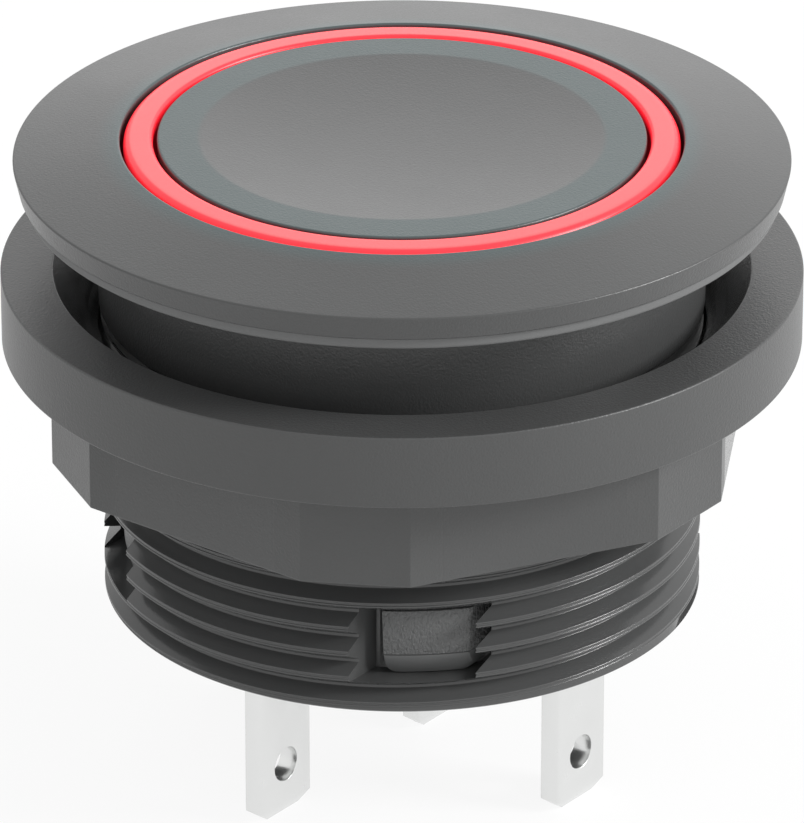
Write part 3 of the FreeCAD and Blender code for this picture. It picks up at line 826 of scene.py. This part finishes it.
class PUSH_BUTTON_OT_light_ring(bpy.types.Operator):
    """Makes the lit red ring and its light tube"""

    bl_idname = "push_button.light_ring"
    bl_label = "Light ring"

    def execute(self, context):
        sizes = context.scene.push_button_button
        colours = context.scene.push_button_colours
        columns = context.scene.push_button_barrel.columns
        top = ring_high.z - sizes.ring_drop
        foot = -sizes.ring_foot
        ledge = -sizes.ring_ledge
        form = turned_form(
            [
                (sizes.ring_bore, top, sizes.ring_rounding),
                (ring_high.x, top - sizes.ring_fall, sizes.ring_shoulder),
                (ring_high.x, foot, 0),
                (sizes.guide_radius, foot, 0),
                (sizes.guide_radius, ring_low.z, 0),
                (sizes.guide_bore, ring_low.z, 0),
                (sizes.guide_bore, ledge, 0),
                (sizes.ring_bore, ledge, 0),
            ],
            columns,
        )
        piece = new_object(form, "glowing_ring")
        finish = Finish("ring_translucent", {"IOR": 1.49, "Emission Strength": 1.0})
        # The glow is real lamp light. The paler top is partly painted light from above, and the
        # fade down the sides into the gap is painted shade.
        facing = finish.ramp(finish.facing_up(), 0.94, 0.99)
        level = finish.axis("Z")
        lit = finish.ramp(level, ring_high.z - sizes.glow_end, ring_high.z - sizes.glow_start)
        deep_glow, side_glow = opaque(colours.ring_deep_glow), opaque(colours.ring_side_glow)
        side = finish.blend(lit, deep_glow, side_glow)
        cloud = finish.noise(1.2 * MM)
        glow = finish.shades(cloud, colours.ring_glow, 0.97, 1.03)
        finish.feed("Emission Color", finish.blend(facing, side, glow))
        finish.feed("Base Color", finish.shades(cloud, colours.ring, 0.9, 1))
        finish.feed("Roughness", 0.3 + 0.1 * finish.noise(0.15 * MM))
        settle(piece, finish.material, "root", "ring_light", "light_ring")
        return {"FINISHED"}


class PUSH_BUTTON_OT_cap(bpy.types.Operator):
    """Makes the dished cap"""

    bl_idname = "push_button.cap"
    bl_label = "Button cap"

    def execute(self, context):
        sizes = context.scene.push_button_button
        colours = context.scene.push_button_colours
        columns = context.scene.push_button_barrel.columns
        top = ring_high.z - sizes.cap_drop
        dish, depth = sizes.dish_radius, sizes.dish_depth
        ball = (dish * dish + depth * depth) / (2 * depth)
        corners = []
        for step in range(DISH_STEPS):
            radius = dish * step / DISH_STEPS
            level = top - depth + ball - math.sqrt(ball * ball - radius * radius)
            corners.append((radius, level, 0))
        edge = sizes.ring_bore - sizes.ring_gap
        skirt = cap_high.x - sizes.cap_wall
        roof = top - depth - sizes.cap_roof
        corners += [
            (dish, top, sizes.dish_rounding),
            (edge, top, sizes.cap_rounding),
            (edge, cap_low.z, SOFT_EDGE),
            (skirt, cap_low.z, SOFT_EDGE),
            (skirt, roof, sizes.roof_rounding),
            (0, roof, 0),
        ]
        piece = new_object(turned_form(corners, columns), "dished_cap")
        finish = moulded_plastic(
            "cap_grained",
            colours.cap,
            grain_size=0.07 * MM,
            grain_depth=0.014 * MM,
            roughness=0.36,
        )
        # Painted light from the ring on the cap's level border, around the dish.
        fade = sizes.painted_border_fade
        border = finish.ramp(finish.radius(), dish - fade, dish + fade)
        light_up(finish, border, colours.cap, colours.cap_lit)
        settle(piece, finish.material, "button", "cap_plastic", "button_cap")
        return {"FINISHED"}


class PUSH_BUTTON_OT_sleeve(bpy.types.Operator):
    """Makes the latch sleeve with its tongues, and the four snap lugs"""

    bl_idname = "push_button.sleeve"
    bl_label = "Latch sleeve"

    def execute(self, context):
        latch = context.scene.push_button_latch
        barrel = context.scene.push_button_barrel
        colours = context.scene.push_button_colours
        finish = moulded_plastic(
            "sleeve_grained",
            colours.sleeve,
            grain_size=0.1 * MM,
            grain_depth=0.03 * MM,
            roughness=0.42,
        )
        bore = latch.radius - latch.wall
        seat = sleeve_high.z - latch.flange
        lip = bore - latch.lip_width
        form = turned_form(
            [
                (bore, sleeve_high.z, SMALL_EDGE),
                (sleeve_high.x, sleeve_high.z, SMALL_EDGE),
                (sleeve_high.x, seat, SMALL_EDGE),
                (latch.radius, seat, 0),
                (latch.radius, sleeve_low.z, SMALL_EDGE),
                (lip, sleeve_low.z, SMALL_EDGE),
                (lip, sleeve_low.z + latch.lip_height, SMALL_EDGE),
                (bore, sleeve_low.z + latch.lip_height, 0),
            ],
            barrel.columns,
        )
        piece = new_object(form, "sleeve_moulding")
        inner = barrel.window_inner + latch.side_gap
        outer = barrel.window_outer - latch.side_gap
        reach = sleeve_high.x + MM
        levels = (sleeve_low.z - MM, sleeve_low.z + latch.slot_length)
        slots = []
        for side in (1, -1):
            for start in (inner - latch.slot_width, outer):
                ends = sorted((side * start, side * (start + latch.slot_width)))
                slots.append((-reach, reach, *ends, *levels))
        combine(piece, box_form(slots), "DIFFERENCE")
        settle(piece, finish.material, "root", "sleeve_plastic", "latch_sleeve")
        foot = -barrel.window_bottom + latch.bottom_gap
        streaked = self.streaked_plastic(colours.sleeve, latch, foot + latch.lead_height)
        self.make_lugs(latch, barrel, inner, outer, foot, streaked)
        return {"FINISHED"}

    def streaked_plastic(self, base, latch, lead_top):
        """The sleeve's plastic with coarse upright streaks above the lugs' smooth lead-in."""
        finish = moulded_plastic(
            "lug_streaked", base, grain_size=0.1 * MM, grain_depth=0, roughness=0.45
        )
        streaks = finish.noise(latch.streak_width, detail=3.0, stretch=(1.0, 1.0, 0.6))
        face = finish.ramp(finish.axis("Z"), lead_top - 0.02 * MM, lead_top + 0.04 * MM)
        finish.bump(streaks * face, latch.streak_depth)
        return finish.material

    def make_lugs(self, latch, barrel, inner, outer, foot, material):
        """Each lug is a turned ledge, kept only within its own outline."""
        top = -barrel.window_top - latch.top_gap
        face = latch.radius + latch.projection
        root = latch.radius - latch.wall / 2
        number = 0
        for side_x in (1, -1):
            for side_y in (1, -1):
                number += 1
                form = turned_form(
                    [
                        (root, top, 0),
                        (face, top, 0),
                        (face, foot + latch.lead_height, 0),
                        (face - latch.lead, foot, 0),
                        (root, foot, 0),
                    ],
                    barrel.columns,
                )
                piece = new_object(form, f"sleeve_lug_{number}")
                outline = rounded_path(
                    [
                        (inner, top + MM, 0),
                        (outer, top + MM, 0),
                        (outer - latch.lug_draft, foot, latch.lug_rounding),
                        (inner + latch.lug_draft, foot, latch.lug_rounding),
                    ],
                    closed=True,
                )
                prism = bmesh.new()
                near = [prism.verts.new((0, side_y * point.x, point.y)) for point in outline]
                prism.faces.new(near)
                made = bmesh.ops.extrude_face_region(prism, geom=prism.faces[:])
                moved = [item for item in made["geom"] if isinstance(item, bmesh.types.BMVert)]
                bmesh.ops.translate(prism, vec=(side_x * 2 * face, 0, 0), verts=moved)
                combine(piece, prism, "INTERSECT")
                bevel = piece.modifiers.new("edges", "BEVEL")
                bevel.width = latch.edge
                bevel.segments = 2
                bevel.limit_method = "ANGLE"
                bevel.angle_limit = BEVEL_ANGLE
                apply_modifiers(piece)
                settle(piece, material, "root", "sleeve_plastic", "latch_sleeve")


def plate_piece(name, outline, hole, terminal, middle_y):
    """A stamped plate in an XZ plane, with softened edges and a coined tip."""
    half_thickness = (lamp_tab_high.y - lamp_tab_low.y) / 2
    curve = bpy.data.curves.new(name, "CURVE")
    curve.dimensions = "2D"
    curve.fill_mode = "BOTH"
    curve.extrude = half_thickness - terminal.edge
    curve.bevel_depth = terminal.edge
    curve.bevel_resolution = 2
    curve.offset = -terminal.edge
    hole_x, hole_z = hole
    radius = terminal.hole_radius
    ring = []
    for angle in even_angles(HOLE_SIDES):
        ring.append((hole_x + radius * math.cos(angle), hole_z + radius * math.sin(angle)))
    for path in (outline, ring):
        spline = curve.splines.new("POLY")
        spline.points.add(len(path) - 1)
        for point, (x, z) in zip(spline.points, path):
            point.co = (x, z, 0, 1)
        spline.use_cyclic_u = True
    drawn = bpy.data.objects.new(name, curve)
    bpy.context.scene.collection.objects.link(drawn)
    depsgraph = bpy.context.evaluated_depsgraph_get()
    mesh = bpy.data.meshes.new_from_object(drawn.evaluated_get(depsgraph))
    bpy.data.objects.remove(drawn)
    form = bmesh.new()
    form.from_mesh(mesh)
    bpy.data.meshes.remove(mesh)
    bmesh.ops.remove_doubles(form, verts=form.verts, dist=WELD_DISTANCE)
    coin_top = lamp_tab_low.z + terminal.coin_height
    whole = form.verts[:] + form.edges[:] + form.faces[:]
    bmesh.ops.bisect_plane(form, geom=whole, plane_co=(0, coin_top, 0), plane_no=(0, 1, 0))
    for vert in form.verts:
        x, z, y = vert.co
        share = max(0, (coin_top - z) / terminal.coin_height)
        y *= 1 - share * terminal.coin / half_thickness
        vert.co = (x, middle_y + y, z)
    return new_object(form, name)


def tab_outline(x, terminal, shoulder, tip):
    """The tab from its right shoulder round its tip to its left shoulder."""
    half = terminal.tab_width / 2
    return [
        (x + half, shoulder),
        (x + half, tip + terminal.corner_height),
        (x + half - terminal.corner_width, tip),
        (x - half + terminal.corner_width, tip),
        (x - half, tip + terminal.corner_height),
        (x - half, shoulder),
    ]


class PUSH_BUTTON_OT_terminals(bpy.types.Operator):
    """Makes the four tin-plated terminals"""

    bl_idname = "push_button.terminals"
    bl_label = "Terminals"

    def execute(self, context):
        terminal = context.scene.push_button_terminal
        finish = self.tin_plating(context.scene.push_button_colours)
        half_neck = terminal.neck_width / 2
        half_tab = terminal.tab_width / 2
        tip = lamp_tab_low.z
        shoulder = sleeve_low.z - terminal.shoulder_drop
        hole_level = tip + terminal.hole_height
        for number, side in ((1, 1), (2, -1)):
            middle_y = side * (lamp_tab_low.y + lamp_tab_high.y) / 2
            top = lamp_tab_high.z
            outline = tab_outline(0, terminal, shoulder, tip)
            outline += [(-half_neck, shoulder), (-half_neck, top)]
            outline += [(half_neck, top), (half_neck, shoulder)]
            piece = plate_piece(f"lamp_tab_{number}", outline, (0, hole_level), terminal, middle_y)
            settle(piece, finish, "root", "tab_tin", f"lamp_terminal_{number}")
        arm = terminal.arm_level
        for contact, low, high in (
            ("common", common_low, common_high),
            ("open", open_low, open_high),
        ):
            x = low.x + half_tab
            outline = tab_outline(x, terminal, shoulder, tip)
            outline += [(x - half_neck, shoulder), (x - half_neck, high.z)]
            outline += [(high.x, high.z), (high.x, arm)]
            outline += [(x + half_neck, arm), (x + half_neck, shoulder)]
            piece = plate_piece(f"{contact}_tab", outline, (x, hole_level), terminal, 0)
            settle(piece, finish, "root", "tab_tin", f"terminal_{contact}")
        return {"FINISHED"}

    def tin_plating(self, colours):
        """Matt tin: faint rolling lines along the strip and a cloudy tone."""
        finish = Finish("tin_plating", {"Metallic": 1.0})
        cloud = finish.noise(0.8 * MM)
        lines = finish.noise(0.06 * MM, stretch=(1.0, 1.0, 0.06))
        finish.feed("Base Color", finish.shades(cloud, colours.tin, 0.97, 1))
        finish.feed("Roughness", 0.18 + 0.08 * cloud + 0.06 * lines)
        finish.bump(lines, 0.0015 * MM)
        return finish.material


def bare_metal(name, tone, roughness, stretch):
    """Bare metal with drawn or rolled lines."""
    finish = Finish(name, {"Metallic": 1.0})
    lines = finish.noise(0.08 * MM, stretch=stretch)
    finish.feed("Base Color", finish.shades(lines, tone, 0.9, 1))
    finish.feed("Roughness", roughness + 0.12 * lines)
    finish.bump(lines, 0.003 * MM)
    return finish.material


def spring_piece(name, low, high, wire, springs):
    """A helical wire that fills a CAD spring's box."""
    radius = high.x - wire / 2
    first_level = low.z + wire / 2 + springs.end_gap
    last_level = high.z - wire / 2 - springs.end_gap
    steps = STEPS_PER_COIL * springs.turns
    form = bmesh.new()
    rings = []
    for step in range(steps + 1):
        angle = 2 * math.pi * step * springs.turns / steps
        outward = Vector((math.cos(angle), math.sin(angle), 0))
        middle = outward * radius
        middle.z = first_level + (last_level - first_level) * step / steps
        ring = []
        for around in even_angles(WIRE_SIDES):
            across = outward * math.cos(around)
            across.z = math.sin(around)
            ring.append(form.verts.new(middle + across * (wire / 2)))
        rings.append(ring)
    for ring, following in zip(rings, rings[1:]):
        for here in range(len(ring)):
            beside = (here + 1) % len(ring)
            form.faces.new((ring[here], ring[beside], following[beside], following[here]))
    form.faces.new(rings[0])
    form.faces.new(rings[-1])
    return new_object(form, name)


class PUSH_BUTTON_OT_springs(bpy.types.Operator):
    """Makes the two springs"""

    bl_idname = "push_button.springs"
    bl_label = "Springs"

    def execute(self, context):
        springs = context.scene.push_button_springs
        steel = bare_metal("spring_wire", (0.6, 0.61, 0.62), 0.24, (1, 1, 0.3))
        low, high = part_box("return_spring")
        coil = spring_piece("return_coil", low, high, springs.return_wire, springs)
        settle(coil, steel, "root", "spring_steel", "return_spring")
        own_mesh(coil)
        low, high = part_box("contact_spring")
        coil = spring_piece("contact_coil", low, high, springs.contact_wire, springs)
        settle(coil, steel, "button", "spring_steel", "contact_spring")
        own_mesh(coil)
        return {"FINISHED"}


class PUSH_BUTTON_OT_inner_parts(bpy.types.Operator):
    """Gives the parts inside the barrel their finishes"""

    bl_idname = "push_button.inner_parts"
    bl_label = "Inner parts"

    def execute(self, context):
        black = (0.03, 0.03, 0.031)
        acetal = moulded_plastic(
            "acetal", (0.8, 0.79, 0.75), grain_size=0.3 * MM, grain_depth=0.008 * MM, roughness=0.4
        )
        seal = moulded_plastic(
            "seal_rubber", black, grain_size=0.15 * MM, grain_depth=0.01 * MM, roughness=0.55
        )
        carrier = moulded_plastic(
            "carrier_filled", black, grain_size=0.12 * MM, grain_depth=0.02 * MM, roughness=0.5
        )
        finishes = {
            acetal.material: ["plunger"],
            seal.material: ["plunger_seal"],
            carrier.material: ["contact_carrier"],
            self.laminate(): ["lamp_board"],
            self.glazed("resistor_glaze", (0.03, 0.03, 0.035)): ["lamp_resistor"],
            self.glazed("diode_epoxy", (0.04, 0.04, 0.04)): ["lamp_diode"],
            self.lamp_package(): ["led_1", "led_2", "led_3", "led_4"],
            bare_metal("silver_alloy", (0.9, 0.89, 0.86), 0.25, (1, 1, 1)): [
                "fixed_contact_common",
                "fixed_contact_open",
                "moving_contact_common",
                "moving_contact_open",
            ],
            bare_metal("rolled_brass", (0.83, 0.62, 0.3), 0.28, (0.08, 1, 1)): ["contact_bridge"],
        }
        for material, nodes in finishes.items():
            for name in nodes:
                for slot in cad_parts[name].material_slots:
                    slot.material = material
        return {"FINISHED"}

    def laminate(self):
        """Green solder mask over a faint glass weave."""
        finish = Finish("solder_mask", {"Coat Weight": 0.3, "Coat Roughness": 0.15})
        warp = finish.node("ShaderNodeTexWave", sockets={"Vector": finish.place(), "Scale": 500.0})
        cloud = finish.noise(2.0 * MM)
        green = finish.blend(cloud, opaque((0.01, 0.11, 0.04)), opaque((0.015, 0.14, 0.055)))
        finish.feed("Base Color", green)
        finish.feed("Roughness", 0.35 + 0.1 * cloud)
        finish.bump(warp, 0.004 * MM)
        return finish.material

    def glazed(self, name, body):
        """The dark, cloudy glaze of a small component."""
        finish = Finish(name, {})
        cloud = finish.noise(0.2 * MM)
        finish.feed("Base Color", finish.shades(cloud, body, 1, 1.5))
        finish.feed("Roughness", 0.25 + 0.15 * cloud)
        finish.bump(cloud, 0.004 * MM)
        return finish.material

    def lamp_package(self):
        """A pale package whose lens glows red."""
        finish = Finish("lamp_package", {"Emission Strength": 1.5})
        lens = finish.ramp(finish.axis("Z"), led_top - 0.24 * MM, led_top - 0.2 * MM)
        cloud = finish.noise(0.3 * MM)
        white = finish.blend(cloud, opaque((0.8, 0.79, 0.74)), opaque((0.86, 0.85, 0.8)))
        glow = finish.blend(lens, opaque((0, 0, 0)), opaque((1.0, 0.05, 0.04)))
        finish.feed("Base Color", finish.blend(lens, white, opaque((0.85, 0.3, 0.25))))
        finish.feed("Emission Color", glow)
        finish.feed("Roughness", 0.3 + 0.1 * cloud)
        return finish.material


class PUSH_BUTTON_OT_stage(bpy.types.Operator):
    """Makes the pale floor, the soft light, the white surroundings and the camera"""

    bl_idname = "push_button.stage"
    bl_label = "Stage"

    def execute(self, context):
        scene = context.scene
        stage = scene.push_button_stage
        self.make_floor(scene.push_button_colours.floor, stage)
        self.make_world(scene, stage.surroundings)
        away = Vector((-math.sin(stage.turn), math.cos(stage.turn), 0))
        right = Vector((math.cos(stage.turn), math.sin(stage.turn), 0))
        up = Vector((0, 0, 1))
        look = away * math.cos(stage.tilt) - up * math.sin(stage.tilt)
        middle = Vector((0, 0, stage.camera_drop))
        lens = bpy.data.cameras.new("camera")
        lens.lens = stage.focal_length
        lens.sensor_width = 36.0
        camera = bpy.data.objects.new("camera", lens)
        camera.location = middle - look * stage.camera_reach
        camera.rotation_euler = look.to_track_quat("-Z", "Y").to_euler()
        scene.collection.objects.link(camera)
        scene.camera = camera
        for name, place, width, power in (
            ("key_light", stage.key_place, stage.key_width, stage.key_power),
            ("fill_light", stage.fill_place, stage.fill_width, stage.fill_power),
        ):
            towards = place[0] * right + place[1] * away + place[2] * up
            self.make_light(name, towards.normalized() * stage.light_reach, width, power)
        scene.view_settings.view_transform = "Standard"
        return {"FINISHED"}

    def make_light(self, name, place, width, power):
        """A square soft light that faces the button."""
        light = bpy.data.lights.new(name, "AREA")
        light.energy = power
        light.size = width
        lamp = bpy.data.objects.new(name, light)
        lamp.location = place
        lamp.rotation_euler = (-place).to_track_quat("-Z", "Y").to_euler()
        bpy.context.scene.collection.objects.link(lamp)

    def make_floor(self, tone, stage):
        """A plain floor under the tab tips. The camera and reflections see it nearly white."""
        form = bmesh.new()
        bmesh.ops.create_grid(form, x_segments=8, y_segments=8, size=stage.floor_width / 2)
        bmesh.ops.translate(form, vec=(0, 0, lamp_tab_low.z), verts=form.verts)
        floor = new_object(form, "floor")
        finish = Finish("floor_white", {"Roughness": 0.9, "Specular IOR Level": 0.1})
        cloud = finish.noise(0.2)
        finish.feed("Base Color", finish.shades(cloud, tone, 0.995, 1))
        share = stage.floor_white * finish.seen_by("Camera", "Glossy", "Transmission")
        white = finish.node("ShaderNodeEmission", sockets={"Color": (1, 1, 1, 1), "Strength": 1.0})
        own = Number(finish, finish.shader.outputs[0])
        mixed = finish.node("ShaderNodeMixShader", sockets={0: share, 1: own, 2: white})
        finish.tree.links.new(mixed.socket, finish.tree.nodes["Material Output"].inputs["Surface"])
        floor.data.materials.append(finish.material)

    def make_world(self, scene, strength):
        """Even white surroundings, as in a light tent."""
        world = bpy.data.worlds.new("light_tent")
        tent = Nodes(world, "Background")
        tent.shader.inputs["Color"].default_value = (1, 1, 1, 1)
        seen = tent.seen_by("Camera", "Glossy")
        sockets = {"Value": seen, "To Min": strength, "To Max": 1.0}
        tent.feed("Strength", tent.node("ShaderNodeMapRange", sockets=sockets))
        scene.world = world


class PUSH_BUTTON_PT_sidebar(bpy.types.Panel):
    """Lists the steps in the 3D view's sidebar"""

    bl_idname = "PUSH_BUTTON_PT_sidebar"
    bl_label = "Push button"
    bl_space_type = "VIEW_3D"
    bl_region_type = "UI"
    bl_category = "Push button"

    def draw(self, context):
        for step in STEPS:
            self.layout.operator(step.bl_idname)


GROUPS = {
    "push_button_bezel": BezelSizes,
    "push_button_barrel": BarrelSizes,
    "push_button_nut": NutSizes,
    "push_button_button": ButtonSizes,
    "push_button_latch": LatchSizes,
    "push_button_terminal": TerminalSizes,
    "push_button_springs": SpringSizes,
    "push_button_colours": FinishColours,
    "push_button_stage": StageSizes,
}
STEPS = (
    PUSH_BUTTON_OT_stage,
    PUSH_BUTTON_OT_housing,
    PUSH_BUTTON_OT_gasket,
    PUSH_BUTTON_OT_nut,
    PUSH_BUTTON_OT_light_ring,
    PUSH_BUTTON_OT_cap,
    PUSH_BUTTON_OT_sleeve,
    PUSH_BUTTON_OT_terminals,
    PUSH_BUTTON_OT_springs,
    PUSH_BUTTON_OT_inner_parts,
)


def register():
    for name, group in GROUPS.items():
        bpy.utils.register_class(group)
        setattr(bpy.types.Scene, name, PointerProperty(type=group))
    for step in STEPS:
        bpy.utils.register_class(step)
    bpy.utils.register_class(PUSH_BUTTON_PT_sidebar)


def unregister():
    bpy.utils.unregister_class(PUSH_BUTTON_PT_sidebar)
    for step in reversed(STEPS):
        bpy.utils.unregister_class(step)
    for name, group in GROUPS.items():
        delattr(bpy.types.Scene, name)
        bpy.utils.unregister_class(group)


def plain(box):
    """A box as lists of numbers."""
    return [list(corner) for corner in box]


def main():
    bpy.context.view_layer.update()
    register()
    bpy.ops.push_button.stage()
    bpy.ops.push_button.housing()
    bpy.ops.push_button.gasket()
    bpy.ops.push_button.nut()
    bpy.ops.push_button.light_ring()
    bpy.ops.push_button.cap()
    bpy.ops.push_button.sleeve()
    bpy.ops.push_button.terminals()
    bpy.ops.push_button.springs()
    bpy.ops.push_button.inner_parts()


if __name__ == "__main__":
    main()
